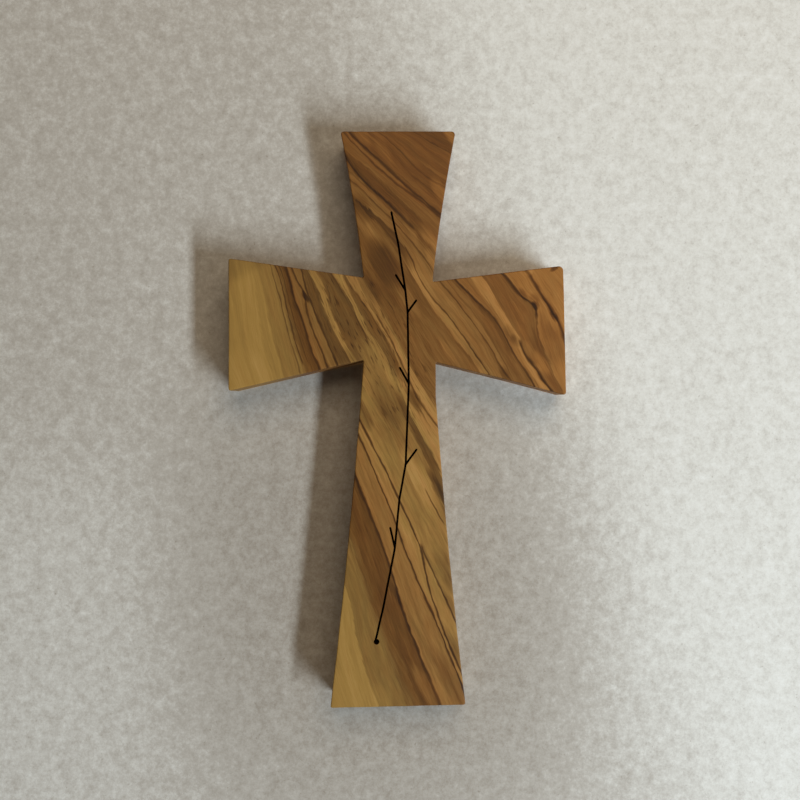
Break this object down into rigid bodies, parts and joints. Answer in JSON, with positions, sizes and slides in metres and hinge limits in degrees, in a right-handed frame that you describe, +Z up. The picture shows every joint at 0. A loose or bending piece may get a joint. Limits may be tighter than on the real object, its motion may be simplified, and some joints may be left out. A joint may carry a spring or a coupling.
{
  "type": "wall cross",
  "caption": "Flat wall cross with flared arms in figured olive wood, pierced by a fine saw-cut thorn twig, with a flush keyhole hanger plate on the back.",
  "frame": {"origin": "centre of the keyhole in the hanger plate, on the back face, which is the plane of the wall", "axes": "+Z up along the upright, +X to the right as seen from the front, +Y out of the back into the wall, so the front faces -Y"},
  "size_m": [0.1175, 0.016, 0.2005],
  "materials": {
    "olive_wood": "oiled, satin",
    "plate_steel": "zinc plated",
    "screw_steel": "zinc plated"
  },
  "bodies": {
    "root": {"cross_board": "olive_wood", "keyhole_plate": "plate_steel", "hanger_screw_left": "screw_steel", "hanger_screw_right": "screw_steel"}
  },
  "joints": []
}
